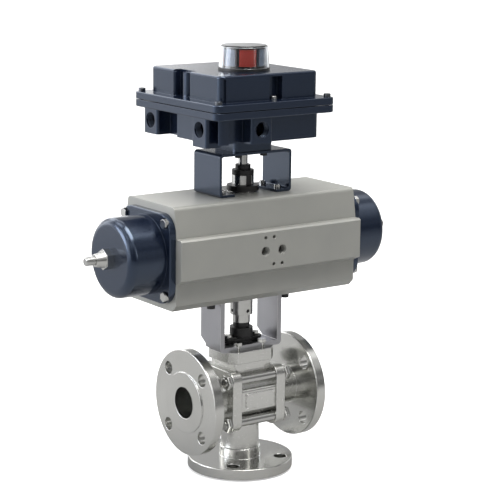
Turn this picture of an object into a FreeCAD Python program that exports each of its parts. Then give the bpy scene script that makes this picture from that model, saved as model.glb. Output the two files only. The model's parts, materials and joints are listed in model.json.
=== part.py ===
import FreeCAD, Part
import math
import os

Vector = FreeCAD.Vector
AXES = {"X": Vector(1, 0, 0), "Y": Vector(0, 1, 0), "Z": Vector(0, 0, 1)}
NODES = {}

# Clearances
seat_gap = 0.3            # between pieces that move past each other
running_gap = 0.05        # radial, shaft in its bush
fit_gap = 0.1             # radial, between pieces that stay together

# Valve
run_height = 92.0         # run axis above the bottom port face
face_to_face = 165.0
port_bore = 38.0
seat_bore_step = 0.5      # radial, seats wider than the port
flange_diameter = 127.0
flange_thickness = 14.3
raised_face_diameter = 73.0
raised_face_height = 1.6
flange_pitch_circle = 98.4
flange_hole = 15.9
flange_rim = 1.0
neck_diameter = 46.0
neck_collar_step = 1.5
neck_collar_height = 12.0
neck_root = 5.0           # coned foot of an end cap's neck
ball_diameter = 56.0
ball_slot_width = 9.0
ball_slot_depth = 6.0
cavity_gap = 0.6
body_wall = 7.0
body_end_inset = 2.5      # body ends inside the ball's radius
side_seat_width = 7.0
side_seat_recess = 3.5
bottom_seat_width = 3.4
bottom_seat_wall = 3.6
seat_length = 12.0
bottom_seat_length = 13.0
bottom_seat_drop = 2.0
gasket_width = 3.5
gasket_offset = 1.5
gasket_height = 1.0
lug_thickness = 13.1
lug_edge = 7.0            # metal outside each tie bolt
lug_extra = 4.0
lug_corner = 12.0
lug_rim = 1.2
tie_diameter = 11.0
tie_inset_y = 3.0         # tie bolts inside the body's radius
tie_inset_z = 9.0
tie_nut_ratio = 1.45      # across flats over the bolt's diameter
tie_nut_height = 7.0
tie_end = 1.5
pad_rise = 30.0           # pad face above the ball
pad_thickness = 14.0
pad_bolt_gap = 2.0        # below the bolt tips
pad_half_length = 33.0
pad_half_width = 29.0
pad_chamfer = 9.0
pad_pitch_circle = 50.0
pad_shoulder = 25.0
band_half_height = 14.0
band_depth = 37.0
band_corner = 3.0
panel_low = -18.0
panel_high = 22.0
panel_half_height = 9.0
panel_height = 2.0

# Stem, packing and gland
stem_diameter = 16.0
stem_square = 11.0
stem_collar_width = 3.5
stem_collar_gap = 1.0
stem_collar_height = 4.0
packing_width = 4.0
packing_rings = 3
packing_depth = 22.0
packing_height = 15.0
gland_half_length = 27.0
gland_wall = 2.0
gland_thickness = 4.5
gland_corner = 8.0
gland_lift = 1.0
gland_bolt_x = 20.0
gland_bolt_flats = 9.0
gland_bolt_depth = 9.0
m6_radius = 3.0
m6_flats = 10.0
m6_head_height = 4.0

# Valve bracket
bracket_height = 67.6
bracket_plate = 6.0
bracket_half_length = 44.5
bracket_half_width = 20.5
bracket_flange_end = 63.0
bracket_taper_width = 20.0
bracket_taper_height = 14.0
bracket_bend = 5.0
bolt_clearance = 0.3
cap_head_radius = 5.0
cap_head_height = 6.0
actuator_bolt_depth = 11.0
actuator_bolt_x = 54.0
actuator_bolt_y = 14.0

# Drive coupling
coupling_lift = 1.5
coupling_radius = 14.0
coupling_neck_radius = 10.0
coupling_height = 11.0
coupling_neck_height = 6.0
adaptor_radius = 13.5
adaptor_step = 3.0
adaptor_step_height = 10.0
adaptor_socket = 20.0
grub_radius = 2.0
grub_height = 15.0
drive_square = 14.0
drive_square_length = 13.0

# Actuator
base_wall_height = 13.7   # metal below the cylinder
top_wall_height = 13.8
actuator_half_length = 128.7
cylinder_bore = 92.4
top_edge_wall = 1.8       # half widths are the cylinder's radius and a wall
shoulder_wall = 7.3
shoulder_rise = 24.5
band_wall = 17.3
band_drop = 21.9
band_chamfer = 6.0
band_edge = 2.0
lower_wall = 5.8
base_inset = 1.7
base_edge_rise = 7.4
groove_width = 1.6
gear_module = 2.0
gear_dedendum = 1.25
gear_clearance = 0.5
gear_teeth = 20
gear_length = 50.0
gear_backlash = 0.35
pressure_angle = 20.0
pinion_lower_radius = 16.0
pinion_upper_radius = 13.0
bush_wall = 4.0
pinion_seal_width = 2.0
pinion_seal_height = 3.0
pinion_seal_place = 4.0
rack_half_height = 13.0
rack_depth = 11.0
rack_reach = 38.0
piston_inner = 44.0
piston_thickness = 17.0
piston_seal_width = 4.0
piston_seal_depth = 3.0
piston_seal_place = 6.0
spring_recess = 3.0
guide_pad_length = 20.0
guide_pad_inset = 4.0
guide_key_depth = 2.0
stroke = math.pi * gear_module * gear_teeth / 4
air_port_diameter = 11.4
air_port_spacing = 24.0
air_port_depth = 12.0
air_passage = 4.4
gallery_drop = 14.0
gallery_wall = 0.4        # beyond the cylinder's widest line
pilot_hole = 4.2
pilot_drop = 16.0
housing_thread_depth = 16.0
top_edge_radius = 5.0

# Spring housings
housing_plate = 8.0
housing_plate_rim = 1.5
housing_margin = 10.1     # plate beyond each housing bolt
housing_corner = 22.0
can_length = 47.0
can_wall = 4.0
can_edge = 9.0
housing_bolt_inset = 4.3   # inside the cylinder's radius, each way
housing_bolt_sink = 2.0
housing_bolt_head = 5.0
gasket_ring_width = 2.0
spring_radius = 31.0
spring_wire = 3.0
spring_turns = 6
spring_end_gap = 0.1
stop_screw_radius = 5.0
stop_boss_radius = 12.0
stop_boss_length = 12.0
lock_nut_flats = 21.0
lock_nut_height = 9.0
lock_cone_height = 11.0
stop_screw_proud = 32.0

# Pinion top and switch bracket
washer_thickness = 0.8
circlip_thickness = 1.0
circlip_groove = 1.0
circlip_width = 3.5
washer_width = 5.0
disc_radius = 19.0
disc_rise = 8.5
pinion_rise = 20.5
pinion_slot = 8.0
coupler_disc = 6.0
coupler_collar = 9.0
switch_shaft_radius = 5.5
switch_bush_radius = 9.0
switch_plate = 3.0
switch_bend = 4.0
switch_bracket_x = 51.4
switch_bracket_y = 26.4
switch_bracket_foot = 30.0
switch_screw_x = 40.0
switch_screw_y = 15.0
m5_radius = 2.5
m5_head_radius = 4.2
m5_head_height = 4.0
m5_depth = 10.0
switch_bracket_height = 50.5
switch_bracket_hole = 11.0
box_screw_x = 18.0
box_screw_y = 16.0

# Switch box
box_centre_y = 20.0
box_hub_half = 27.0
box_hub_half_width = 24.0
box_hub_height = 15.0
box_floor_wall = 5.0
base_height = 30.0
base_flange = 8.3
box_seal = 1.0
lid_flange = 8.2
lid_height = 30.5
base_half_x = 71.0
base_half_y = 73.0
flange_half_x = 84.7
flange_half_y = 87.0
lid_half_x = 69.5
lid_half_y = 71.8
lid_wall = 3.5
lid_inset = 14.0
lid_edge = 2.5
base_wall = 4.0
recess_depth = 9.0
recess_high = 33.0
box_corner = 7.0
flange_corner = 9.0
flange_edge = 1.2
boss_edge = 3.5
pocket_depth = 10.0
pocket_low = 9.0
pocket_high = 43.0
pocket_column = 7.0
pocket_bead = 3.0
front_pocket_low = -1.0
front_pocket_high = 17.0
seal_width = 4.0
lid_screw_x = 77.0
lid_screw_y = 79.0
entry_radius = 9.2
entry_boss = 15.0
entry_rise = 16.0
near_entry_y = -25.0
far_entry_y = 76.0
front_entry_x = -18.0
near_entry_drop = 4.0
sensor_x = 34.0
sensor_half_length = 8.0
sensor_half_width = 14.0
sensor_height = 24.0
cam_radius = 13.0
cam_reach = 20.0
cam_height = 8.0
cam_pitch = 10.0
sensor_plate_thickness = 2.0
sensor_plate_x = (-52.0, 62.0)
sensor_plate_y = (-34.0, 84.0)
earth_screw_x = 54.0
earth_screw_y = -26.0
m4_radius = 2.0
m4_flats = 7.0
terminal_half_length = 40.0
terminal_y = (50.0, 70.0)
terminal_height = 14.0
terminal_count = 8

# Indicator
dome_base_radius = 29.7
dome_top_radius = 27.6
dome_height = 29.0
dome_wall = 2.0
dome_ring_height = 3.0
dome_ring_proud = 0.6
rotor_radius = 24.8
rotor_rise = 4.0
rotor_top_gap = 2.8
rotor_plate = 1.2
rotor_grip = 8.0
panel_thickness = 3.0
panel_angle = 48.0
panel_count = 6
panel_turn = -115.0       # direction of the first red panel


def along(axis, place, distance):
    """A point: place with its coordinate along the axis replaced by distance."""
    point = Vector(place)
    setattr(point, axis.lower(), distance)
    return point


def box(x, y, z):
    return Part.makeBox(x[1] - x[0], y[1] - y[0], z[1] - z[0], Vector(x[0], y[0], z[0]))


def rod(axis, place, radius, span):
    low, high = sorted(span)
    return Part.makeCylinder(radius, high - low, along(axis, place, low), AXES[axis])


def cone(axis, place, radii, span):
    direction = AXES[axis] * math.copysign(1, span[1] - span[0])
    return Part.makeCone(radii[0], radii[1], abs(span[1] - span[0]), along(axis, place, span[0]), direction)


def ring(axis, place, inner, outer, span):
    return rod(axis, place, outer, span).cut(rod(axis, place, inner, span))


def hexagon(axis, place, flats, span):
    """A hexagonal prism, given by its size across flats."""
    low, high = sorted(span)
    radius = flats / math.sqrt(3)
    angles = [i * math.pi / 3 for i in range(7)]
    corners = [Vector(radius * math.cos(angle), radius * math.sin(angle), 0) for angle in angles]
    prism = Part.Face(Part.makePolygon(corners)).extrude(Vector(0, 0, high - low))
    prism.Placement = FreeCAD.Placement(along(axis, place, low), FreeCAD.Rotation(AXES["Z"], AXES[axis]))
    return prism


def fuse(shapes):
    return shapes[0].multiFuse(shapes[1:]).removeSplitter()


def mirror(shape):
    return shape.mirror(Vector(), AXES["X"])


def edges_along(shape, axis):
    """The straight edges of a shape that run along an axis."""
    straight = [edge for edge in shape.Edges if edge.Curve.TypeId == "Part::GeomLine"]
    return [edge for edge in straight if abs(edge.tangentAt(edge.FirstParameter).dot(AXES[axis])) > 0.999]


def edges_at(shape, axis, station):
    """The edges of a shape that lie wholly at one station of an axis."""
    name = axis.lower()
    return [edge for edge in shape.Edges if all(abs(getattr(vertex.Point, name) - station) < 0.001
                                                for vertex in edge.Vertexes)]


def rounded_box(x, y, z, radius, axis):
    block = box(x, y, z)
    return block.makeFillet(radius, edges_along(block, axis))


def prism(points, axis, span):
    """A polygon given in the two other axes, extruded along one axis."""
    order = {"X": lambda a, b: Vector(span[0], a, b), "Y": lambda a, b: Vector(a, span[0], b),
             "Z": lambda a, b: Vector(a, b, span[0])}[axis]
    outline = [order(a, b) for a, b in points]
    return Part.Face(Part.makePolygon(outline + outline[:1])).extrude(AXES[axis] * (span[1] - span[0]))


def four(x, y, z=0.0):
    return [Vector(i * x, j * y, z) for i in (-1, 1) for j in (-1, 1)]


def socket_screw(axis, place, thread, head, head_span, tip):
    """A cap screw: the head between the two stations of head_span, the shank from its first to the tip."""
    shank = rod(axis, place, thread, (head_span[0], tip))
    cap = rod(axis, place, head, head_span)
    reach = head_span[1] - head_span[0]
    socket = hexagon(axis, place, head, (head_span[1] - 0.6 * reach, head_span[1]))
    return fuse([cap, shank]).cut(socket)


def hex_screw(axis, place, thread, flats, head_span, tip):
    return fuse([hexagon(axis, place, flats, head_span), rod(axis, place, thread, (head_span[0], tip))])


# ---------------------------------------------------------------- valve

run = Vector(0, 0, run_height)
bore = port_bore / 2
seat_bore = bore + seat_bore_step
side_seat_radius = bore + side_seat_width
bottom_seat_radius = bore + bottom_seat_width
bottom_boss_radius = bottom_seat_radius + bottom_seat_wall
packing_radius = stem_diameter / 2 + packing_width
gasket_inner = side_seat_radius + gasket_offset
gasket_outer = gasket_inner + gasket_width
ball_radius = ball_diameter / 2
body_radius = ball_radius + body_wall
body_half_length = ball_radius - body_end_inset
tie_y = body_radius - tie_inset_y
tie_z = body_radius - tie_inset_z
stem_collar_radius = stem_diameter / 2 + stem_collar_width
gland_half_width = stem_diameter / 2 + gland_wall
pad_top = run_height + ball_radius + pad_rise
packing_floor = pad_top - packing_depth
lug_half_width = tie_y + lug_edge
lug_half_height = tie_z + lug_edge + lug_extra
tie_radius = tie_diameter / 2
tie_nut_flats = tie_diameter * tie_nut_ratio
neck_radius = neck_diameter / 2
flange_back = face_to_face / 2 - flange_thickness
lug_end = body_half_length + lug_thickness
tie_places = [Vector(0, i * tie_y, run_height + j * tie_z) for i in (-1, 1) for j in (-1, 1)]
side_seat_end = body_half_length + side_seat_recess
bottom_seat_low = run_height - ball_radius - bottom_seat_drop
pad_low = pad_top - pad_thickness
pad_bolt_place = pad_pitch_circle / 2 / math.sqrt(2)
slot_floor = run_height + ball_radius - ball_slot_depth
collar_low = run_height + ball_radius + stem_collar_gap
bracket_top = pad_top + bracket_plate
gland_low = bracket_top + gland_lift
gland_high = gland_low + gland_thickness


def flange(axis, place, face, back):
    """A raised-face flange with four holes astride its centrelines."""
    step = math.copysign(raised_face_height, back - face)
    disc = rod(axis, place, flange_diameter / 2, (face + step, back))
    rim = [edge for edge in disc.Edges if edge.Curve.TypeId == "Part::GeomCircle"]
    disc = disc.makeFillet(flange_rim, rim)
    disc = disc.fuse(rod(axis, place, raised_face_diameter / 2, (face, back)))
    offset = flange_pitch_circle / 2 / math.sqrt(2)
    for i in (-1, 1):
        for j in (-1, 1):
            shift = Vector(i * offset, j * offset, 0) if axis == "Z" else Vector(0, i * offset, j * offset)
            disc = disc.cut(rod(axis, place + shift, flange_hole / 2, (face, back)))
    return disc


def make_valve_body():
    span = (-body_half_length, body_half_length)
    shell = rod("X", run, body_radius, span)
    boss = rod("Z", Vector(), bottom_boss_radius, (run_height - body_radius, run_height))
    boss = boss.common(box(span, span, (0, run_height)))
    band = rounded_box(span, (-band_depth, band_depth),
                       (run_height - band_half_height, run_height + band_half_height), band_corner, "X")
    panel = rounded_box((panel_low, panel_high), (-band_depth - panel_height, 0),
                        (run_height - panel_half_height, run_height + panel_half_height), panel_height, "Y")
    shoulder = box(span, (-pad_shoulder, pad_shoulder), (run_height, pad_low))
    length, width, edge = pad_half_length, pad_half_width, pad_chamfer
    quarter = [(length, width - edge), (length - edge, width)]
    half = quarter + [(-x, y) for x, y in reversed(quarter)]
    octagon = half + [(-x, -y) for x, y in half]
    pad = prism(octagon, "Z", (pad_low, pad_top))
    neck = rod("Z", Vector(), neck_radius, (flange_thickness, run_height))
    collar_top = flange_thickness + neck_collar_height
    collar = rod("Z", Vector(), neck_radius + neck_collar_step, (flange_thickness, collar_top))
    port_flange = flange("Z", Vector(), 0, flange_thickness)
    body = fuse([shell, boss, band, panel, shoulder, pad, neck, collar, port_flange])
    cavity = Part.makeSphere(ball_radius + cavity_gap, run)
    openings = [cavity, rod("X", run, side_seat_radius + fit_gap, span),
                rod("Z", Vector(), bore, (0, run_height)),
                rod("Z", Vector(), bottom_seat_radius + fit_gap, (bottom_seat_low, run_height)),
                rod("Z", Vector(), stem_collar_radius + seat_gap,
                    (run_height, collar_low + stem_collar_height + seat_gap)),
                rod("Z", Vector(), stem_diameter / 2 + running_gap, (run_height, pad_top)),
                rod("Z", Vector(), packing_radius + fit_gap, (packing_floor, pad_top))]
    for side in (-1, 1):
        groove = (side * (body_half_length - gasket_height), side * body_half_length)
        openings.append(ring("X", run, gasket_inner, gasket_outer, groove))
        hole_floor = pad_top - gland_bolt_depth - 1
        openings.append(rod("Z", Vector(side * gland_bolt_x, 0, 0), m6_radius, (hole_floor, pad_top)))
    for place in four(pad_bolt_place, pad_bolt_place):
        openings.append(rod("Z", place, m6_radius, (pad_low, pad_top)))
    NODES["valve_body"] = body.cut(openings)


def make_end_caps():
    cap_lug = rounded_box((-lug_end, -body_half_length), (-lug_half_width, lug_half_width),
                          (run_height - lug_half_height, run_height + lug_half_height), lug_corner, "X")
    cap_lug = cap_lug.makeFillet(lug_rim, edges_at(cap_lug, "X", -lug_end))
    neck = rod("X", run, neck_radius, (-flange_back - 1, -body_half_length))
    root = cone("X", run, (neck_radius + neck_root, neck_radius), (-lug_end, -lug_end - neck_root))
    cap = fuse([cap_lug, neck, root, flange("X", run, -face_to_face / 2, -flange_back)])
    tools = [rod("X", run, bore, (-face_to_face / 2, 0)),
             rod("X", run, side_seat_radius + fit_gap, (-side_seat_end, -body_half_length))]
    for place in tie_places:
        tools.append(rod("X", place, tie_radius + fit_gap, (-lug_end, -body_half_length)))
    cap = cap.cut(tools)
    NODES["left_end_cap"] = cap
    NODES["right_end_cap"] = mirror(cap)


def make_seats():
    ball_space = Part.makeSphere(ball_radius + seat_gap, run)
    side = ring("X", run, seat_bore, side_seat_radius, (-side_seat_end, -side_seat_end + seat_length))
    side = side.cut(ball_space)
    NODES["side_seats"] = [side, mirror(side)]
    low_span = (bottom_seat_low, bottom_seat_low + bottom_seat_length)
    low = ring("Z", Vector(), seat_bore, bottom_seat_radius, low_span)
    side_start = side_seat_end - seat_length - seat_gap
    room = [rod("X", run, side_seat_radius + seat_gap, (i * side_start, i * side_seat_end)) for i in (-1, 1)]
    NODES["bottom_seat"] = low.cut([ball_space] + room)
    groove = (-body_half_length, -body_half_length + gasket_height)
    gasket = ring("X", run, gasket_inner, gasket_outer, groove)
    NODES["body_gaskets"] = [gasket, mirror(gasket)]


def make_ball():
    ball = Part.makeSphere(ball_radius, run)
    reach = 2 * ball_radius
    half = ball_slot_width / 2
    tools = [rod("X", run, bore, (-reach, 0)), rod("Y", run, bore, (-reach, 0)),
             rod("Z", run, bore, (run_height - reach, run_height)), Part.makeSphere(bore, run),
             box((-reach, reach), (-half, half), (slot_floor, run_height + reach))]
    NODES["ball"] = ball.cut(tools)


def make_stem():
    radius = stem_diameter / 2
    tang = rod("Z", Vector(), stem_collar_radius, (slot_floor + seat_gap, collar_low))
    width = ball_slot_width / 2 - fit_gap
    tang = tang.common(box((-ball_radius, ball_radius), (-width, width), (slot_floor, collar_low)))
    collar = rod("Z", Vector(), stem_collar_radius, (collar_low, collar_low + stem_collar_height))
    shaft = rod("Z", Vector(), radius, (collar_low, coupling_low))
    half = stem_square / 2
    square = box((-half, half), (-half, half), (gland_high, adaptor_low + adaptor_socket - 1))
    NODES["valve_stem"] = fuse([tang, collar, shaft, square])
    rings = []
    ring_height = packing_height / packing_rings
    for i in range(packing_rings):
        low = packing_floor + i * ring_height
        rings.append(ring("Z", Vector(), radius + running_gap, packing_radius, (low, low + ring_height)))
    NODES["stem_packing"] = rings


def make_gland():
    plate = rounded_box((-gland_half_length, gland_half_length), (-gland_half_width, gland_half_width),
                        (gland_low, gland_high), gland_corner, "Z")
    sleeve = rod("Z", Vector(), packing_radius - fit_gap, (packing_floor + packing_height, gland_low))
    gland = fuse([plate, sleeve])
    tools = [rod("Z", Vector(), stem_diameter / 2 + running_gap, (packing_floor, gland_high))]
    bolts = []
    for side in (-1, 1):
        place = Vector(side * gland_bolt_x, 0, 0)
        tools.append(rod("Z", place, m6_radius + fit_gap, (gland_low, gland_high)))
        head = (gland_high, gland_high + m6_head_height)
        bolts.append(hex_screw("Z", place, m6_radius, gland_bolt_flats, head, pad_top - gland_bolt_depth))
    NODES["gland_plate"] = gland.cut(tools)
    NODES["gland_bolts"] = bolts


def make_ties():
    studs = []
    nuts = []
    stud_end = lug_end + tie_nut_height + tie_end
    for place in tie_places:
        studs.append(rod("X", place, tie_radius, (-stud_end, stud_end)))
        for side in (-1, 1):
            span = (side * lug_end, side * (lug_end + tie_nut_height))
            nut = hexagon("X", place, tie_nut_flats, span)
            nuts.append(nut.cut(rod("X", place, tie_radius + fit_gap, span)))
    NODES["tie_studs"] = studs
    NODES["tie_nuts"] = nuts


# ---------------------------------------------------------------- valve bracket and coupling

actuator_base = pad_top + bracket_height
coupling_low = gland_high + coupling_lift
coupling_neck_low = coupling_low + coupling_height
adaptor_low = coupling_neck_low + coupling_neck_height
adaptor_high = actuator_base - seat_gap


def make_valve_bracket():
    long, wide, plate = bracket_half_length, bracket_half_width, bracket_plate
    flange_low = actuator_base - plate
    frame = rounded_box((-long, long), (-wide, wide), (pad_top, actuator_base), bracket_bend, "Y")
    frame = frame.cut(box((-long + plate, long - plate), (-wide, wide), (bracket_top, actuator_base)))
    wing = box((-bracket_flange_end, -long + plate), (-wide, wide), (flange_low, actuator_base))
    square_top = box((-long, -long + plate), (-wide, wide), (flange_low - plate, actuator_base))
    frame = fuse([frame, wing, square_top, mirror(wing), mirror(square_top)])
    corner = [(wide - bracket_taper_width, pad_top), (wide, pad_top), (wide, pad_top + bracket_taper_height)]
    tools = [prism(corner, "X", (-long, -long + plate + 1)), prism(corner, "X", (long - plate - 1, long)),
             rod("Z", Vector(), packing_radius + bolt_clearance, (pad_top, bracket_top))]
    gland_bolts = [Vector(side * gland_bolt_x, 0, 0) for side in (-1, 1)]
    for place in four(pad_bolt_place, pad_bolt_place) + gland_bolts:
        tools.append(rod("Z", place, m6_radius + bolt_clearance, (pad_top, bracket_top)))
    for place in four(actuator_bolt_x, actuator_bolt_y):
        tools.append(rod("Z", place, m6_radius + bolt_clearance, (flange_low, actuator_base)))
    NODES["valve_bracket"] = frame.cut(tools)
    head = (bracket_top, bracket_top + m6_head_height)
    NODES["pad_bolts"] = [hex_screw("Z", place, m6_radius, m6_flats, head, pad_low + pad_bolt_gap)
                          for place in four(pad_bolt_place, pad_bolt_place)]
    cap = (flange_low, flange_low - cap_head_height)
    tip = actuator_base + actuator_bolt_depth
    NODES["actuator_bolts"] = [socket_screw("Z", place, m6_radius, cap_head_radius, cap, tip)
                               for place in four(actuator_bolt_x, actuator_bolt_y)]


def make_coupling():
    half = stem_square / 2 + fit_gap
    square = box((-half, half), (-half, half), (coupling_low, adaptor_low + adaptor_socket))
    hub = rod("Z", Vector(), coupling_radius, (coupling_low, coupling_neck_low))
    neck = rod("Z", Vector(), coupling_neck_radius, (coupling_neck_low, adaptor_low))
    NODES["drive_coupling"] = fuse([hub, neck]).cut(square)
    adaptor = rod("Z", Vector(), adaptor_radius, (adaptor_low, adaptor_high))
    step_span = (adaptor_low, adaptor_low + adaptor_step_height)
    adaptor = adaptor.cut(ring("Z", Vector(), adaptor_radius - adaptor_step, adaptor_radius, step_span))
    key = drive_square / 2 - fit_gap
    tang = box((-key, key), (-key, key), (adaptor_high, adaptor_high + drive_square_length))
    adaptor = fuse([adaptor, tang]).cut(square)
    screws = []
    for axis in ("X", "Y"):
        place = Vector(0, 0, adaptor_low + grub_height)
        span = (-adaptor_radius + fit_gap, -half)
        adaptor = adaptor.cut(rod(axis, place, grub_radius + fit_gap, (-adaptor_radius, -half)))
        screw = rod(axis, place, grub_radius, span)
        screws.append(screw.cut(hexagon(axis, place, grub_radius, (span[0], span[0] + grub_radius))))
    NODES["coupling_adaptor"] = adaptor
    NODES["coupling_screws"] = screws


# ---------------------------------------------------------------- actuator

bore_radius = cylinder_bore / 2
actuator_axis = actuator_base + bore_radius + base_wall_height
actuator_top = actuator_axis + bore_radius + top_wall_height
axis_line = Vector(0, 0, actuator_axis)
top_half_width = bore_radius + top_edge_wall
shoulder_half_width = bore_radius + shoulder_wall
shoulder_height = actuator_axis + shoulder_rise
band_half_width = bore_radius + band_wall
band_low = actuator_axis - band_drop
lower_half_width = bore_radius + lower_wall
base_half_width = bore_radius - base_inset
base_edge_height = actuator_base + base_edge_rise
housing_bolt_place = bore_radius - housing_bolt_inset
disc_top = actuator_top + disc_rise
pinion_top = actuator_top + pinion_rise
piston_radius = bore_radius - seat_gap
can_radius = bore_radius - fit_gap
pitch_radius = gear_module * gear_teeth / 2
tip_radius = pitch_radius + gear_module
root_radius = pitch_radius - gear_dedendum * gear_module
lower_bush_radius = tip_radius + gear_clearance
upper_bush_radius = pinion_upper_radius + bush_wall
gear_low = actuator_axis - gear_length / 2
gear_high = actuator_axis + gear_length / 2
housing_bolts = [Vector(0, i * housing_bolt_place, actuator_axis + j * housing_bolt_place)
                 for i in (-1, 1) for j in (-1, 1)]
plate_end = actuator_half_length + housing_plate
housing_half_size = housing_bolt_place + housing_margin
housing_end = plate_end + can_length
gallery = Vector(0, -bore_radius - air_passage / 2 - gallery_wall, actuator_axis - gallery_drop)
washer_high = actuator_top + seat_gap + washer_thickness
circlip_low = washer_high + fit_gap
circlip_high = circlip_low + circlip_thickness


def make_actuator_body():
    right = [(base_half_width, actuator_base), (lower_half_width, base_edge_height),
             (lower_half_width, band_low - band_chamfer), (band_half_width, band_low),
             (band_half_width, shoulder_height - band_edge), (band_half_width - band_edge, shoulder_height),
             (shoulder_half_width, shoulder_height), (shoulder_half_width, shoulder_height + groove_width),
             (top_half_width, actuator_top)]
    outline = right + [(-y, z) for y, z in reversed(right)]
    body = prism(outline, "X", (-actuator_half_length, actuator_half_length))
    long_edges = [edge for edge in edges_along(body, "X") if abs(edge.CenterOfMass.z - actuator_top) < 1]
    body = body.makeFillet(top_edge_radius, long_edges)
    tools = [rod("X", axis_line, bore_radius, (-actuator_half_length, actuator_half_length)),
             rod("Z", Vector(), lower_bush_radius, (actuator_base, actuator_axis)),
             rod("Z", Vector(), upper_bush_radius, (actuator_axis, actuator_top))]
    face = -band_half_width
    for side in (-1, 1):
        port = Vector(side * air_port_spacing / 2, 0, actuator_axis)
        tools.append(rod("Y", port, air_port_diameter / 2, (face, face + air_port_depth)))
        for x in (0, -side * air_port_spacing / 2):
            hole = Vector(x, 0, actuator_axis + side * pilot_drop)
            tools.append(rod("Y", hole, pilot_hole / 2, (face, face + air_port_depth)))
    near = Vector(-air_port_spacing / 2, 0, actuator_axis)
    tools.append(rod("Y", near, air_passage / 2, (face, 0)))
    tools.append(rod("X", gallery, air_passage / 2, (-actuator_half_length, actuator_half_length)))
    far = Vector(air_port_spacing / 2, gallery.y, 0)
    tools.append(rod("Z", far, air_passage / 2, (gallery.z, actuator_axis)))
    for place in four(actuator_bolt_x, actuator_bolt_y):
        tools.append(rod("Z", place, m6_radius, (actuator_base, actuator_base + actuator_bolt_depth)))
    for place in four(switch_screw_x, switch_screw_y):
        tools.append(rod("Z", place, m5_radius, (actuator_top - m5_depth, actuator_top)))
    for place in housing_bolts:
        for side in (-1, 1):
            span = (side * (actuator_half_length - housing_thread_depth), side * actuator_half_length)
            tools.append(rod("X", place, m6_radius, span))
    NODES["actuator_body"] = body.cut(tools)


def involute_half_angle(radius):
    """Half the tooth's angular width at a radius, without backlash."""
    base = pitch_radius * math.cos(math.radians(pressure_angle))
    angle = math.acos(min(1.0, base / radius))
    pitch_angle = math.radians(pressure_angle)
    return math.pi / (2 * gear_teeth) + (math.tan(pitch_angle) - pitch_angle) - (math.tan(angle) - angle)


def gear_teeth_shape():
    """The toothed barrel: one tooth turned about the stem axis, with a tooth centred on each Y direction."""
    steps = 5
    start = pitch_radius * math.cos(math.radians(pressure_angle))
    radii = [max(start, root_radius) + i * (tip_radius - start) / steps for i in range(steps + 1)]
    thin = gear_backlash / 2 / pitch_radius
    flank = [(radius, involute_half_angle(radius) - thin) for radius in radii]
    outline = [(root_radius - 1, flank[0][1])] + flank
    points = [Vector(r * math.sin(-a), r * math.cos(a), gear_low) for r, a in outline]
    points += [Vector(r * math.sin(a), r * math.cos(a), gear_low) for r, a in reversed(outline)]
    tooth = Part.Face(Part.makePolygon(points + points[:1])).extrude(Vector(0, 0, gear_length))
    teeth = []
    for i in range(gear_teeth):
        copy = tooth.copy()
        copy.rotate(Vector(), AXES["Z"], i * 360 / gear_teeth)
        teeth.append(copy)
    return fuse([rod("Z", Vector(), root_radius, (gear_low, gear_high))] + teeth)


def make_pinion():
    upper = pinion_upper_radius
    pinion_low = actuator_base + seat_gap
    shaft = [rod("Z", Vector(), pinion_lower_radius, (pinion_low, gear_low)), gear_teeth_shape(),
             rod("Z", Vector(), upper, (gear_high, pinion_top))]
    half = drive_square / 2 + fit_gap
    tools = [box((-half, half), (-half, half), (actuator_base, adaptor_high + drive_square_length + 1)),
             ring("Z", Vector(), upper - circlip_groove, upper + circlip_groove,
                  (circlip_low - fit_gap, circlip_high + fit_gap)),
             box((-pinion_slot / 2, pinion_slot / 2), (-upper, upper), (disc_top, pinion_top))]
    NODES["pinion"] = fuse(shaft).cut(tools)
    lower_seal_low = actuator_base + pinion_seal_place
    upper_seal_low = actuator_top - pinion_seal_place - pinion_seal_height
    places = [(pinion_lower_radius, lower_bush_radius, actuator_base, gear_low - seat_gap, lower_seal_low),
              (upper, upper_bush_radius, gear_high + seat_gap, actuator_top, upper_seal_low)]
    bushes = []
    seals = []
    for shaft_radius, outer, low, high, seal_low in places:
        bush = ring("Z", Vector(), shaft_radius + running_gap, outer - running_gap, (low, high))
        seat = (seal_low, seal_low + pinion_seal_height)
        outer_edge = shaft_radius + pinion_seal_width
        bushes.append(bush.cut(rod("Z", Vector(), outer_edge, seat)))
        seals.append(ring("Z", Vector(), shaft_radius + running_gap, outer_edge - fit_gap, seat))
    NODES["pinion_bushes"] = bushes
    NODES["pinion_seals"] = seals
    NODES["pinion_washer"] = ring("Z", Vector(), upper + running_gap, upper + washer_width,
                                  (actuator_top + seat_gap, washer_high))
    inner = upper - circlip_groove + fit_gap
    clip = ring("Z", Vector(), inner, inner + circlip_width, (circlip_low, circlip_high))
    gap = box((-circlip_width, circlip_width), (0, inner + circlip_width), (circlip_low, circlip_high))
    NODES["pinion_circlip"] = clip.cut(gap)
    disc = ring("Z", Vector(), upper + fit_gap, disc_radius, (circlip_high + fit_gap, disc_top))
    NODES["position_disc"] = disc


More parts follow.
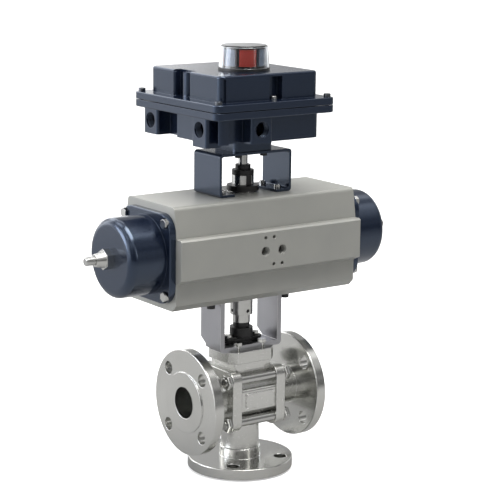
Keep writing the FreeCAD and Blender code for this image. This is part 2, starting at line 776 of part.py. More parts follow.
def rack_bar():
    """The left piston's rack: teeth point at the stem axis, with a tooth space centred on x = 0."""
    back = pitch_radius + gear_dedendum * gear_module + gear_backlash / 2
    height = (actuator_axis - rack_half_height, actuator_axis + rack_half_height)
    bar = box((-piston_inner, rack_reach), (back, back + rack_depth), height)
    pitch = math.pi * gear_module
    slope = math.tan(math.radians(pressure_angle))
    tip = pitch_radius - gear_module
    half_pitch_tooth = pitch / 4 - gear_backlash / 4
    tooth_tip = half_pitch_tooth - gear_module * slope
    tooth_root = half_pitch_tooth + (back - pitch_radius) * slope
    pieces = [bar]
    first = math.ceil((-piston_inner + tooth_root) / pitch - 0.5)
    last = math.floor((rack_reach - tooth_root) / pitch - 0.5)
    for i in range(first, last + 1):
        centre = (i + 0.5) * pitch
        outline = [(centre - tooth_tip, tip), (centre + tooth_tip, tip), (centre + tooth_root, back),
                   (centre - tooth_root, back)]
        pieces.append(prism(outline, "Z", height))
    return fuse(pieces)


def make_pistons():
    outer = -piston_inner - piston_thickness
    seal_low = outer + piston_seal_place
    disc = rod("X", axis_line, piston_radius, (outer, -piston_inner))
    seal_floor = piston_radius - piston_seal_depth
    groove = ring("X", axis_line, seal_floor, bore_radius, (seal_low, seal_low + piston_seal_width))
    half_recess = spring_wire + piston_seal_depth - 1
    spring_seat = ring("X", axis_line, spring_radius - half_recess, spring_radius + half_recess,
                       (outer, outer + spring_recess))
    piston = fuse([disc.cut([groove, spring_seat]), rack_bar()])
    seal = ring("X", axis_line, seal_floor + fit_gap, bore_radius - running_gap,
                (seal_low + fit_gap, seal_low + piston_seal_width - fit_gap))
    back = pitch_radius + gear_dedendum * gear_module + gear_backlash / 2 + rack_depth
    pad_end = rack_reach - guide_pad_inset
    pad_span = (pad_end - guide_pad_length, pad_end)
    key_half = rack_half_height - guide_pad_inset
    pad = rod("X", axis_line, bore_radius - running_gap, pad_span)
    pad = pad.common(box(pad_span, (back, bore_radius),
                         (actuator_axis - rack_half_height, actuator_axis + rack_half_height)))
    key = box(pad_span, (back - guide_key_depth, back), (actuator_axis - key_half, actuator_axis + key_half))
    piston = piston.cut(key)
    pad = fuse([pad, key])
    for name, shape in (("piston", piston), ("piston_seal", seal), ("guide_pad", pad)):
        NODES["left_" + name] = shape
        turned = shape.copy()
        turned.rotate(Vector(), AXES["Z"], 180)
        NODES["right_" + name] = turned


def make_springs():
    """One open coil spring a side, from the piston's recess to the housing's end."""
    low = piston_inner + piston_thickness - spring_recess + spring_wire + spring_end_gap
    high = housing_end - can_wall - spring_wire - spring_end_gap
    length = high - low
    helix = Part.makeLongHelix(length / spring_turns, length, spring_radius)
    section = Part.Wire(Part.makeCircle(spring_wire, Vector(spring_radius, 0, 0), AXES["Y"]))
    coil = Part.Wire(helix.Edges).makePipeShell([section], True, True)
    coil.Placement = FreeCAD.Placement(Vector(low, 0, actuator_axis), FreeCAD.Rotation(AXES["Z"], AXES["X"]))
    NODES["right_return_spring"] = coil
    turned = coil.copy()
    turned.rotate(Vector(), AXES["Z"], 180)
    NODES["left_return_spring"] = turned


def make_housings():
    half = housing_half_size
    plate = rounded_box((-plate_end, -actuator_half_length), (-half, half),
                        (actuator_axis - half, actuator_axis + half), housing_corner, "X")
    can = rod("X", axis_line, can_radius, (-housing_end, -actuator_half_length))
    can = can.makeFillet(can_edge, edges_at(can, "X", -housing_end))
    inside_end = -housing_end + can_wall
    inside = rod("X", axis_line, can_radius - can_wall, (inside_end, -actuator_half_length))
    inside = inside.makeFillet(can_edge - can_wall, edges_at(inside, "X", inside_end))
    plate = plate.makeFillet(housing_plate_rim, edges_at(plate, "X", -plate_end))
    boss = rod("X", axis_line, stop_boss_radius, (-housing_end, -housing_end + stop_boss_length))
    tools = [rod("X", axis_line, stop_screw_radius + fit_gap, (-housing_end, -actuator_half_length))]
    reach = air_passage / 2
    notch = box((-actuator_half_length - reach, -actuator_half_length),
                (gallery.y - reach, -can_radius + can_edge), (gallery.z - reach, gallery.z + reach))
    groove = (-actuator_half_length - gasket_height, -actuator_half_length)
    seat_inner = can_radius + gasket_height
    seat = ring("X", axis_line, seat_inner, seat_inner + gasket_ring_width, groove)
    tools += [notch, seat]
    screws = []
    seat_end = -plate_end + housing_bolt_sink
    for place in housing_bolts:
        tools.append(rod("X", place, m6_radius + fit_gap, (-plate_end, -actuator_half_length)))
        tools.append(rod("X", place, m6_flats / 2 + housing_bolt_sink, (-plate_end, seat_end)))
        screws.append(hex_screw("X", place, m6_radius, m6_flats, (seat_end, seat_end - housing_bolt_head),
                                -actuator_half_length + housing_thread_depth - 2))
    housing = fuse([fuse([plate, can]).cut(inside), boss]).cut(tools)
    NODES["left_spring_housing"] = housing
    NODES["right_spring_housing"] = mirror(housing)
    gasket = seat.cut(notch)
    NODES["housing_gaskets"] = [gasket, mirror(gasket)]
    NODES["housing_screws"] = screws + [mirror(screw) for screw in screws]


def make_stops():
    reach = piston_inner + piston_thickness + stroke + seat_gap
    tip = housing_end + stop_screw_proud
    screw = rod("X", axis_line, stop_screw_radius, (-tip + 1, -reach))
    screw = fuse([screw, cone("X", axis_line, (stop_screw_radius, stop_screw_radius - 1), (-tip + 1, -tip))])
    nut_end = -housing_end - lock_nut_height
    cap_radii = (lock_nut_flats / 2 - 1, stop_screw_radius + 2)
    cap = cone("X", axis_line, cap_radii, (nut_end, nut_end - lock_cone_height))
    nut = fuse([hexagon("X", axis_line, lock_nut_flats, (nut_end, -housing_end)), cap])
    nut = nut.cut(rod("X", axis_line, stop_screw_radius + fit_gap, (-tip, 0)))
    NODES["stop_screws"] = [screw, mirror(screw)]
    NODES["stop_lock_nuts"] = [nut, mirror(nut)]


# ---------------------------------------------------------------- switch bracket and shaft


def make_switch_bracket():
    x, y, plate = switch_bracket_x, switch_bracket_y, switch_plate
    frame = rounded_box((-x, x), (-y, y), (actuator_top, switch_bracket_top), switch_bend, "Y")
    window_span = (actuator_top + plate, switch_bracket_top - plate)
    window = rounded_box((-x + plate, x - plate), (-y, y), window_span, switch_bend - 2, "Y")
    gap = box((-switch_bracket_foot, switch_bracket_foot), (-y, y), (actuator_top, actuator_top + plate))
    tools = [window, gap, rod("Z", Vector(), switch_bracket_hole, (actuator_top, switch_bracket_top))]
    hole = m5_radius + bolt_clearance
    for place in four(switch_screw_x, switch_screw_y):
        tools.append(rod("Z", place, hole, (actuator_top, actuator_top + plate)))
    for place in four(box_screw_x, box_screw_y):
        tools.append(rod("Z", place, hole, (switch_bracket_top - plate, switch_bracket_top)))
    NODES["switch_bracket"] = frame.cut(tools)
    foot_top = actuator_top + plate
    head = (foot_top, foot_top + m5_head_height)
    tip = actuator_top - m5_depth + 1
    NODES["bracket_screws"] = [socket_screw("Z", place, m5_radius, m5_head_radius, head, tip)
                               for place in four(switch_screw_x, switch_screw_y)]
    under = switch_bracket_top - plate
    head = (under, under - m5_head_height)
    tip = switch_bracket_top + m5_depth
    NODES["box_fixing_screws"] = [socket_screw("Z", place, m5_radius, m5_head_radius, head, tip)
                                  for place in four(box_screw_x, box_screw_y)]


def make_switch_shaft():
    upper = pinion_upper_radius
    tang = box((-pinion_slot / 2 + fit_gap, pinion_slot / 2 - fit_gap), (-upper + 0.5, upper - 0.5),
               (disc_top + seat_gap, pinion_top + 1))
    disc = rod("Z", Vector(), upper, (pinion_top + seat_gap, pinion_top + coupler_disc))
    tang = tang.common(rod("Z", Vector(), upper, (disc_top, pinion_top + 2)))
    collar = rod("Z", Vector(), coupler_collar, (pinion_top + coupler_disc, pinion_top + 2 * coupler_disc))
    coupler = fuse([tang, disc, collar])
    shaft_hole = rod("Z", Vector(), switch_shaft_radius + fit_gap, (pinion_top + 1, box_floor))
    NODES["shaft_coupler"] = coupler.cut(shaft_hole)
    NODES["switch_shaft"] = rod("Z", Vector(), switch_shaft_radius, (pinion_top + 1, shaft_end))
    NODES["shaft_bush"] = ring("Z", Vector(), switch_shaft_radius + running_gap, switch_bush_radius,
                               (switch_bracket_top, box_floor + box_floor_wall))


# ---------------------------------------------------------------- switch box


switch_bracket_top = actuator_top + switch_bracket_height
box_floor = switch_bracket_top + box_hub_height
box_flange_low = box_floor + base_height
box_joint = box_flange_low + base_flange
box_flange_high = box_joint + box_seal + lid_flange
box_top = box_flange_high + lid_height
entry_height = box_floor + entry_rise
dome_low = box_top + dome_ring_height
dome_top = box_top + dome_height
rotor_low = box_top + rotor_rise
rotor_high = dome_top - rotor_top_gap
lid_screw_places = [place + Vector(0, box_centre_y, 0) for place in four(lid_screw_x, lid_screw_y)]
shaft_end = rotor_low + rotor_grip


def box_y(low, high):
    return (box_centre_y + low, box_centre_y + high)


def make_box_base():
    low, high = box_floor, box_flange_low
    floor = box_floor + box_floor_wall
    hub = rounded_box((-box_hub_half, box_hub_half), (-box_hub_half_width, box_hub_half_width),
                      (switch_bracket_top, box_floor), box_corner, "Z")
    housing = rounded_box((-base_half_x, base_half_x), box_y(-base_half_y, base_half_y), (low, high),
                          box_corner, "Z")
    rim = rounded_box((-flange_half_x, flange_half_x), box_y(-flange_half_y, flange_half_y),
                      (high, box_joint), flange_corner, "Z")
    rim = rim.makeFillet(flange_edge, edges_at(rim, "Z", high))
    left = -base_half_x
    face = box_centre_y - base_half_y
    inset = recess_depth + base_wall
    boss = entry_boss
    entries = [rounded_box((left - recess_depth, left + inset), (near_entry_y - boss, near_entry_y + boss),
                           (low - near_entry_drop, high), boss_edge, "Z"),
               rounded_box((left - recess_depth, left + inset), (far_entry_y - boss, far_entry_y + boss),
                           (low, high), boss_edge, "Z"),
               rounded_box((front_entry_x - boss, front_entry_x + boss), (face - recess_depth, face + inset),
                           (low, high), boss_edge, "Z")]
    cavity_y = box_y(-base_half_y + inset, base_half_y - base_wall)
    cavity = rounded_box((left + inset, base_half_x - base_wall), cavity_y, (floor, box_joint), base_wall, "Z")
    recesses = [box((left, left + recess_depth), (recess_high, far_entry_y - boss), (low, high)),
                box((left, left + recess_depth), (face + base_wall, near_entry_y - boss), (low, high)),
                box((left + inset, front_entry_x - boss), (face, face + recess_depth), (low, high))]
    tools = [cavity, rod("Z", Vector(), switch_bush_radius + fit_gap, (switch_bracket_top, floor))]
    for y in (near_entry_y, far_entry_y):
        place = Vector(0, y, entry_height)
        tools.append(rod("X", place, entry_radius, (left - recess_depth, left + inset + 1)))
    place = Vector(front_entry_x, 0, entry_height)
    tools.append(rod("Y", place, entry_radius, (face - recess_depth, face + inset + 1)))
    for place in four(box_screw_x, box_screw_y):
        tools.append(rod("Z", place, m5_radius, (switch_bracket_top, switch_bracket_top + m5_depth)))
    for place in lid_screw_places:
        tools.append(rod("Z", place, m5_radius, (high, box_joint)))
    base = fuse([hub, housing.cut(recesses), rim] + entries)
    NODES["box_base"] = base.cut(tools)
    seal_span = (box_joint, box_joint + box_seal)
    seal = rounded_box((-lid_half_x, lid_half_x), box_y(-lid_half_y, lid_half_y), seal_span, box_corner, "Z")
    inner_x = lid_half_x - seal_width
    inner_y = lid_half_y - seal_width
    inside = rounded_box((-inner_x, inner_x), box_y(-inner_y, inner_y), seal_span, seal_width, "Z")
    NODES["lid_seal"] = seal.cut(inside)


def make_box_lid():
    low = box_joint + box_seal
    rim_top = box_flange_high
    rim = rounded_box((-flange_half_x, flange_half_x), box_y(-flange_half_y, flange_half_y), (low, rim_top),
                      flange_corner, "Z")
    rim = rim.makeFillet(flange_edge, edges_at(rim, "Z", rim_top))
    cap = rounded_box((-lid_half_x, lid_half_x), box_y(-lid_half_y, lid_half_y), (low, box_top),
                      box_corner, "Z")
    cap = cap.makeFillet(lid_edge, edges_at(cap, "Z", box_top))
    inner_x = lid_half_x - lid_inset
    inner_y = lid_half_y - lid_inset
    cavity = rounded_box((-inner_x, inner_x), box_y(-inner_y, inner_y), (low, box_top - lid_wall),
                         base_wall, "Z")
    face = box_centre_y - lid_half_y
    middle_y = (pocket_low + pocket_high) / 2
    pocket_floor = -lid_half_x + pocket_depth
    left_pocket = box((-lid_half_x, pocket_floor), (pocket_low, pocket_high), (rim_top, box_top))
    column = rod("Z", Vector(pocket_floor, middle_y, 0), pocket_column, (low, box_top - lid_edge))
    bead = rod("Z", Vector(-lid_half_x + pocket_bead, pocket_high + pocket_bead / 2, 0), pocket_bead,
               (low, box_top - lid_edge))
    front_pocket = box((front_pocket_low, front_pocket_high), (face, face + pocket_depth),
                       (rim_top, box_top - lid_wall))
    corner_slot = box((-lid_half_x + base_wall, -lid_half_x + 2 * base_wall), (face, face + lid_edge),
                      (rim_top, box_top - lid_wall))
    lid = fuse([rim, cap.cut([left_pocket, front_pocket, corner_slot]), column, bead])
    tools = [cavity, rod("Z", Vector(), switch_shaft_radius + seat_gap, (low, box_top))]
    head = (rim_top, rim_top + m5_head_height)
    screws = []
    for place in lid_screw_places:
        tools.append(rod("Z", place, m5_radius + bolt_clearance, (low, rim_top)))
        screws.append(socket_screw("Z", place, m5_radius, m5_head_radius, head, box_flange_low + 1))
    place = Vector((front_pocket_low + front_pocket_high) / 2, face + pocket_depth / 2, 0)
    tools.append(rod("Z", place, m5_radius, (low + 2, rim_top)))
    screws.append(socket_screw("Z", place, m5_radius, m5_head_radius, head, low + 3))
    NODES["box_lid"] = lid.cut(tools)
    NODES["lid_screws"] = screws


def make_box_inside():
    floor = box_floor + box_floor_wall
    top = floor + sensor_plate_thickness
    earth = Vector(earth_screw_x, earth_screw_y, 0)
    plate = box(sensor_plate_x, sensor_plate_y, (floor, top))
    shaft_room = rod("Z", Vector(), cam_radius + 2, (floor, top))
    NODES["sensor_plate"] = plate.cut([shaft_room, rod("Z", earth, m4_radius + fit_gap, (floor, top))])
    NODES["earth_screw"] = hex_screw("Z", earth, m4_radius, m4_flats, (top, top + m4_radius * 2), floor)
    sensors = []
    for side in (-1, 1):
        span = sorted((side * (sensor_x - sensor_half_length), side * (sensor_x + sensor_half_length)))
        sensors.append(box(span, (-sensor_half_width, sensor_half_width), (top, top + sensor_height)))
    NODES["proximity_sensors"] = sensors
    block = box((-terminal_half_length, terminal_half_length), terminal_y, (top, top + terminal_height))
    pitch = 2 * terminal_half_length / terminal_count
    for i in range(terminal_count):
        place = Vector(-terminal_half_length + (i + 0.5) * pitch, sum(terminal_y) / 2, 0)
        block = block.cut(rod("Z", place, pitch / 3, (top + terminal_height - 5, top + terminal_height)))
    NODES["terminal_block"] = block
    cams = []
    for i, angle in enumerate((0, 90)):
        low = top + 3 + i * cam_pitch
        span = (low, low + cam_height)
        lobe = box((0, cam_reach), (-cam_height / 2, cam_height / 2), span)
        lobe.rotate(Vector(), AXES["Z"], angle)
        cam = fuse([rod("Z", Vector(), cam_radius, span), lobe])
        cams.append(cam.cut(rod("Z", Vector(), switch_shaft_radius + fit_gap, span)))
    NODES["switch_cams"] = cams


# ---------------------------------------------------------------- indicator

def make_indicator():
    base = rod("Z", Vector(), dome_base_radius + dome_ring_proud, (box_top, dome_low))
    NODES["dome_base"] = base.cut(rod("Z", Vector(), switch_shaft_radius + seat_gap, (box_top, dome_low)))
    dome = cone("Z", Vector(), (dome_base_radius, dome_top_radius), (dome_low, dome_top))
    dome = dome.makeFillet(dome_wall, edges_at(dome, "Z", dome_top))
    hollow = cone("Z", Vector(), (dome_base_radius - dome_wall, dome_top_radius - dome_wall),
                  (dome_low, dome_top - dome_wall))
    NODES["indicator_dome"] = dome.cut(hollow)
    core = rotor_radius - panel_thickness - 1
    plates = [rod("Z", Vector(), rotor_radius, (rotor_low, rotor_low + rotor_plate)),
              rod("Z", Vector(), rotor_radius, (rotor_high - rotor_plate, rotor_high)),
              rod("Z", Vector(), core, (rotor_low, rotor_high))]
    shaft_hole = rod("Z", Vector(), switch_shaft_radius + fit_gap, (rotor_low, shaft_end))
    NODES["indicator_rotor"] = fuse(plates).cut(shaft_hole)
    span = (rotor_low + rotor_plate, rotor_high - rotor_plate)
    groups = {"red_panels": [], "pale_panels": []}
    for i in range(panel_count):
        foot = Vector(0, 0, span[0])
        panel = Part.makeCylinder(core + panel_thickness, span[1] - span[0], foot, AXES["Z"], panel_angle)
        panel = panel.cut(rod("Z", Vector(), core + fit_gap, span))
        panel.rotate(Vector(), AXES["Z"], panel_turn + i * 360 / panel_count - panel_angle / 2)
        groups["pale_panels" if i % 2 else "red_panels"].append(panel)
    NODES.update(groups)


make_valve_body()
make_end_caps()
make_seats()
make_ball()
make_stem()
make_gland()
make_ties()
make_valve_bracket()
make_coupling()
make_actuator_body()
make_pinion()
make_pistons()
make_springs()
make_housings()
make_stops()
make_switch_bracket()
make_switch_shaft()
make_box_base()
make_box_lid()
make_box_inside()
make_indicator()

os.makedirs("parts", exist_ok=True)
for name, shape in NODES.items():
    if isinstance(shape, list):
        shape = Part.makeCompound(shape)
    shape.exportStep("parts/" + name + ".step")
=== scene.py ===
import json
import math
import bmesh
import bpy
from mathutils import Matrix, Vector


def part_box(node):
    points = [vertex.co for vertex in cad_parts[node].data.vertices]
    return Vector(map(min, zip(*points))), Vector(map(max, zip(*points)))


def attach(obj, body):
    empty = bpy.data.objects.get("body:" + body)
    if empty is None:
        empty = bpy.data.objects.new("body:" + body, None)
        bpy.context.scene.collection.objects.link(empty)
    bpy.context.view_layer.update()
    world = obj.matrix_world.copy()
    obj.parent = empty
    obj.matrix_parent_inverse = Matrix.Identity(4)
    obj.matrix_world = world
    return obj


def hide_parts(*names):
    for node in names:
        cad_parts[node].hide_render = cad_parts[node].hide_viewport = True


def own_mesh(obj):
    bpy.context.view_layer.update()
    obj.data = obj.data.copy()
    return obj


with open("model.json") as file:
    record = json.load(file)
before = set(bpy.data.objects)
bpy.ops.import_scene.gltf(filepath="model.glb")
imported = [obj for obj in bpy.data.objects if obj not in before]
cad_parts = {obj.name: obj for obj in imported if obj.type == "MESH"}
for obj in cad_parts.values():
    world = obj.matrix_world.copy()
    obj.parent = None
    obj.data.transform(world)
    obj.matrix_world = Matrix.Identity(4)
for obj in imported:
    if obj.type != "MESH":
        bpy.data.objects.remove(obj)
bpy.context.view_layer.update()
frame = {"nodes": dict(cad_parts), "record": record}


# The valve stands on a plain white sweep in a light tent, with nothing else on it.
# The tent is bright behind and to the left and grey in front, so gloss and bare metal show their shape.
bright_side = Vector((-0.62, 0.78, 0.1)).normalized()


def add_math(tree, operation, *values, clamp=False):
    """A math node fed with numbers or sockets; gives its output socket."""
    node = tree.nodes.new("ShaderNodeMath")
    node.operation = operation
    node.use_clamp = clamp
    for socket, value in zip(node.inputs, values):
        if isinstance(value, (int, float)):
            socket.default_value = value
        else:
            tree.links.new(value, socket)
    return node.outputs[0]


def add_ramp(tree, value, low, high, at_low, at_high):
    """A smooth step of a value between two limits, given as two results."""
    node = tree.nodes.new("ShaderNodeMapRange")
    node.interpolation_type = "SMOOTHSTEP"
    tree.links.new(value, node.inputs["Value"])
    for label, number in (("From Min", low), ("From Max", high), ("To Min", at_low), ("To Max", at_high)):
        node.inputs[label].default_value = number
    return node.outputs["Result"]


def add_dot(tree, place, direction):
    """How far a place lies along a direction."""
    node = tree.nodes.new("ShaderNodeVectorMath")
    node.operation = "DOT_PRODUCT"
    tree.links.new(place, node.inputs[0])
    node.inputs[1].default_value = direction
    return node.outputs["Value"]


floor_size = 16.0
floor_drop = 0.0005
floor_roughness = 0.9
floor_gloss = 0.1
seen_tone = 0.9
seen_glow = 0.45
bpy.ops.object.select_all(action="DESELECT")
bpy.ops.mesh.primitive_plane_add(size=floor_size, location=(0, 0, -floor_drop))
floor = bpy.context.object
floor.name = "floor"
bpy.ops.object.transform_apply(location=True, rotation=True, scale=True)
floor_paint = bpy.data.materials.new("white_sweep")
floor_paint.use_nodes = True
floor_tree = floor_paint.node_tree
sweep = floor_tree.nodes["Principled BSDF"]
sweep.inputs["Roughness"].default_value = floor_roughness
sweep.inputs["Specular IOR Level"].default_value = floor_gloss
sweep.inputs["Emission Color"].default_value = (1, 1, 1, 1)
floor_place = floor_tree.nodes.new("ShaderNodeTexCoord").outputs["Object"]
floor_seen = floor_tree.nodes.new("ShaderNodeLightPath").outputs["Is Camera Ray"]
# Away from the camera the floor's tone is painted light and shade: a painted shade in front and a painted
# pool of light towards the bright side. Reflections and bounced light see it; the camera sees an even white.
floor_way = add_dot(floor_tree, floor_place, bright_side)
floor_front_painted_shade = add_ramp(floor_tree, floor_way, low=-1.7, high=-0.5, at_low=0.27, at_high=0.36)
floor_side_painted_light = add_ramp(floor_tree, floor_way, low=1.5, high=2.3, at_low=0.0, at_high=0.48)
floor_painted_tone = add_math(floor_tree, "ADD", floor_front_painted_shade, floor_side_painted_light)
floor_shown = add_math(floor_tree, "MULTIPLY", floor_seen, seen_tone)
floor_painted_tone = add_math(floor_tree, "MAXIMUM", floor_painted_tone, floor_shown)
floor_mix = floor_tree.nodes.new("ShaderNodeCombineColor")
for channel in ("Red", "Green", "Blue"):
    floor_tree.links.new(floor_painted_tone, floor_mix.inputs[channel])
floor_tree.links.new(floor_mix.outputs["Color"], sweep.inputs["Base Color"])
floor_glow = add_math(floor_tree, "MULTIPLY", floor_seen, seen_glow)
floor_tree.links.new(floor_glow, sweep.inputs["Emission Strength"])
floor.data.materials.append(floor_paint)

overhead = Vector((0, 0, 1))
right_back = Vector((0.6, 0.78, 0.15))
tent_dimness = 0.2
fold_scale = 2.6
world = bpy.data.worlds.new("light_tent")
bpy.context.scene.world = world
world.use_nodes = True
tent_tree = world.node_tree
tent = tent_tree.nodes["Background"]
tent_way = tent_tree.nodes.new("ShaderNodeTexCoord").outputs["Generated"]
tent_seen = tent_tree.nodes.new("ShaderNodeLightPath").outputs["Is Camera Ray"]
to_side = add_dot(tent_tree, tent_way, bright_side)
to_roof = add_dot(tent_tree, tent_way, overhead)
to_right = add_dot(tent_tree, tent_way, right_back)
tent_side = add_ramp(tent_tree, to_side, low=0.0, high=0.85, at_low=0.0, at_high=1.35)
tent_roof = add_ramp(tent_tree, to_roof, low=0.35, high=0.95, at_low=0.0, at_high=0.9)
tent_right = add_ramp(tent_tree, to_right, low=0.3, high=0.9, at_low=0.0, at_high=0.75)
tent_sum = add_math(tent_tree, "ADD", add_math(tent_tree, "ADD", tent_side, tent_roof), tent_right)
tent_folds = tent_tree.nodes.new("ShaderNodeTexNoise")
tent_folds.inputs["Scale"].default_value = fold_scale
tent_folds.inputs["Detail"].default_value = 1.0
tent_tree.links.new(tent_way, tent_folds.inputs["Vector"])
tent_shade = add_ramp(tent_tree, tent_folds.outputs["Fac"], low=0.4, high=0.6, at_low=0.3, at_high=1.5)
tent_light = add_math(tent_tree, "MULTIPLY", add_math(tent_tree, "ADD", tent_sum, tent_dimness), tent_shade)
tent_unseen = add_math(tent_tree, "SUBTRACT", 1.0, tent_seen)
tent_total = add_math(tent_tree, "ADD", add_math(tent_tree, "MULTIPLY", tent_light, tent_unseen), tent_seen)
tent_tree.links.new(tent_total, tent.inputs["Strength"])
tent.inputs["Color"].default_value = (1.0, 1.0, 1.0, 1)
bpy.context.scene.view_settings.view_transform = "Standard"


# The light is a large soft box high on the left, a soft box overhead and a weak strip in front.
# Each lamp is a plain area lamp that points at the middle of the actuator.
lamp_target = Vector((0, 0, 0.27))


def add_lamp(name, place, width, height, power, colour):
    lamp = bpy.data.lights.new(name, "AREA")
    lamp.shape = "RECTANGLE"
    lamp.size = width
    lamp.size_y = height
    lamp.energy = power
    lamp.color = colour
    holder = bpy.data.objects.new(name, lamp)
    bpy.context.scene.collection.objects.link(holder)
    holder.location = place
    holder.rotation_euler = (lamp_target - Vector(place)).to_track_quat("-Z", "Y").to_euler()


add_lamp("left_softbox", (-2.4, 1.2, 0.9), width=1.4, height=1.2, power=30, colour=(0.88, 0.92, 1.0))
add_lamp("top_softbox", (0.1, -0.5, 2.35), width=1.5, height=1.5, power=52, colour=(1.0, 0.985, 0.95))
add_lamp("front_strip", (0.7, -2.3, 1.2), width=0.2, height=1.2, power=3, colour=(1.0, 0.99, 0.96))


# The camera is a long lens low off the left front corner, with a slight roll.
# It looks at a point on the stem axis, half way up the valve.
camera_azimuth = math.radians(-36.13)
camera_elevation = math.radians(11.76)
camera_roll = math.radians(0.68)
camera_distance = 2.0649
camera_height = 0.2669
camera_side = 0.0095
back = Vector((math.sin(camera_azimuth) * math.cos(camera_elevation),
               -math.cos(camera_azimuth) * math.cos(camera_elevation), math.sin(camera_elevation)))
right = Vector((math.cos(camera_azimuth), math.sin(camera_azimuth), 0))
up = back.cross(right)
camera_right = right * math.cos(camera_roll) + up * math.sin(camera_roll)
camera_up = up * math.cos(camera_roll) - right * math.sin(camera_roll)
camera = bpy.data.objects.new("camera", bpy.data.cameras.new("camera"))
bpy.context.scene.collection.objects.link(camera)
camera.data.lens = 125.3
camera.data.sensor_width = 36.0
turn = Matrix((camera_right, camera_up, back)).transposed().to_4x4()
aim = Vector((0, 0, camera_height)) + right * camera_side
camera.matrix_world = Matrix.Translation(aim + back * camera_distance) @ turn
bpy.context.scene.camera = camera


# The valve body and its two end caps are stainless castings, blasted to a fine matt skin and then machined.
# Their finish is a soft cast texture with a slow change of tone, smoother flanges with turned rings on the
# port faces, and bright edges.
def make_group(name, inputs, outputs):
    """An empty shader node group with named value inputs and outputs."""
    group = bpy.data.node_groups.new(name, "ShaderNodeTree")
    for label, kind in inputs:
        group.interface.new_socket(name=label, in_out="INPUT", socket_type=kind)
    for label, kind in outputs:
        group.interface.new_socket(name=label, in_out="OUTPUT", socket_type=kind)
    return group, group.nodes.new("NodeGroupInput"), group.nodes.new("NodeGroupOutput")


def add_noise(tree, place, scale, detail):
    """A noise texture at a scale that is a number or a socket."""
    node = tree.nodes.new("ShaderNodeTexNoise")
    node.inputs["Detail"].default_value = detail
    tree.links.new(place, node.inputs["Vector"])
    if isinstance(scale, (int, float)):
        node.inputs["Scale"].default_value = scale
    else:
        tree.links.new(scale, node.inputs["Scale"])
    return node.outputs["Fac"]


value_socket = "NodeSocketFloat"
vector_socket = "NodeSocketVector"
cloud_share = 0.02
grain_group, grain_in, grain_out = make_group(
    "grain", [("Place", vector_socket), ("Scale", value_socket)],
    [("Fine", value_socket), ("Cloud", value_socket)])
fine = add_noise(grain_group, grain_in.outputs["Place"], grain_in.outputs["Scale"], detail=4.0)
cloud_scale = add_math(grain_group, "MULTIPLY", grain_in.outputs["Scale"], cloud_share)
cloud = add_noise(grain_group, grain_in.outputs["Place"], cloud_scale, detail=2.0)
grain_group.links.new(fine, grain_out.inputs["Fine"])
grain_group.links.new(cloud, grain_out.inputs["Cloud"])

wear_patch_scale = 260.0
wear_gain = 9.0
wear_group, wear_in, wear_out = make_group(
    "edge_wear", [("Place", vector_socket), ("Radius", value_socket)],
    [("Edge", value_socket), ("Soft Normal", vector_socket)])
bevel = wear_group.nodes.new("ShaderNodeBevel")
bevel.samples = 4
wear_group.links.new(wear_in.outputs["Radius"], bevel.inputs["Radius"])
geometry = wear_group.nodes.new("ShaderNodeNewGeometry")
facing = wear_group.nodes.new("ShaderNodeVectorMath")
facing.operation = "DOT_PRODUCT"
wear_group.links.new(bevel.outputs["Normal"], facing.inputs[0])
wear_group.links.new(geometry.outputs["Normal"], facing.inputs[1])
turned = add_math(wear_group, "SUBTRACT", 1.0, facing.outputs["Value"])
patchy = add_noise(wear_group, wear_in.outputs["Place"], wear_patch_scale, detail=3.0)
wear_strength = add_math(wear_group, "MULTIPLY", patchy, wear_gain)
edge = add_math(wear_group, "MULTIPLY", turned, wear_strength, clamp=True)
wear_group.links.new(edge, wear_out.inputs["Edge"])
wear_group.links.new(bevel.outputs["Normal"], wear_out.inputs["Soft Normal"])


def make_finish(name, light, dark, edge_colour, roughness, metallic, grain_scale, grain_depth,
                edge_radius=0.0008, rough_spread=0.12, coat=0.0, gloss=0.5, tint=(1.0, 1.0, 1.0)):
    """A material with grain, a slow change of tone, uneven gloss and worn edges."""
    material = bpy.data.materials.new(name)
    material.use_nodes = True
    tree = material.node_tree
    shader = tree.nodes["Principled BSDF"]
    place = tree.nodes.new("ShaderNodeTexCoord").outputs["Object"]
    grain = tree.nodes.new("ShaderNodeGroup")
    grain.node_tree = grain_group
    grain.inputs["Scale"].default_value = grain_scale
    tree.links.new(place, grain.inputs["Place"])
    wear = tree.nodes.new("ShaderNodeGroup")
    wear.node_tree = wear_group
    wear.inputs["Radius"].default_value = edge_radius
    tree.links.new(place, wear.inputs["Place"])
    tone = tree.nodes.new("ShaderNodeMix")
    tone.data_type = "RGBA"
    tone.inputs["A"].default_value = (*light, 1)
    tone.inputs["B"].default_value = (*dark, 1)
    tree.links.new(grain.outputs["Cloud"], tone.inputs["Factor"])
    edges = tree.nodes.new("ShaderNodeMix")
    edges.data_type = "RGBA"
    edges.inputs["B"].default_value = (*edge_colour, 1)
    tree.links.new(tone.outputs["Result"], edges.inputs["A"])
    tree.links.new(wear.outputs["Edge"], edges.inputs["Factor"])
    tree.links.new(edges.outputs["Result"], shader.inputs["Base Color"])
    grain_middle = 0.5
    swing = add_math(tree, "SUBTRACT", grain.outputs["Fine"], grain_middle)
    spread = add_math(tree, "MULTIPLY", swing, rough_spread)
    tree.links.new(add_math(tree, "ADD", spread, roughness), shader.inputs["Roughness"])
    bump = tree.nodes.new("ShaderNodeBump")
    bump.name = "skin"
    bump.inputs["Distance"].default_value = grain_depth
    bump.inputs["Strength"].default_value = 0.6
    tree.links.new(wear.outputs["Soft Normal"], bump.inputs["Normal"])
    tree.links.new(grain.outputs["Fine"], bump.inputs["Height"])
    tree.links.new(bump.outputs["Normal"], shader.inputs["Normal"])
    shader.inputs["Metallic"].default_value = metallic
    shader.inputs["Coat Weight"].default_value = coat
    shader.inputs["Coat Roughness"].default_value = 0.08
    shader.inputs["Specular IOR Level"].default_value = gloss
    shader.inputs["Specular Tint"].default_value = (*tint, 1)
    return material


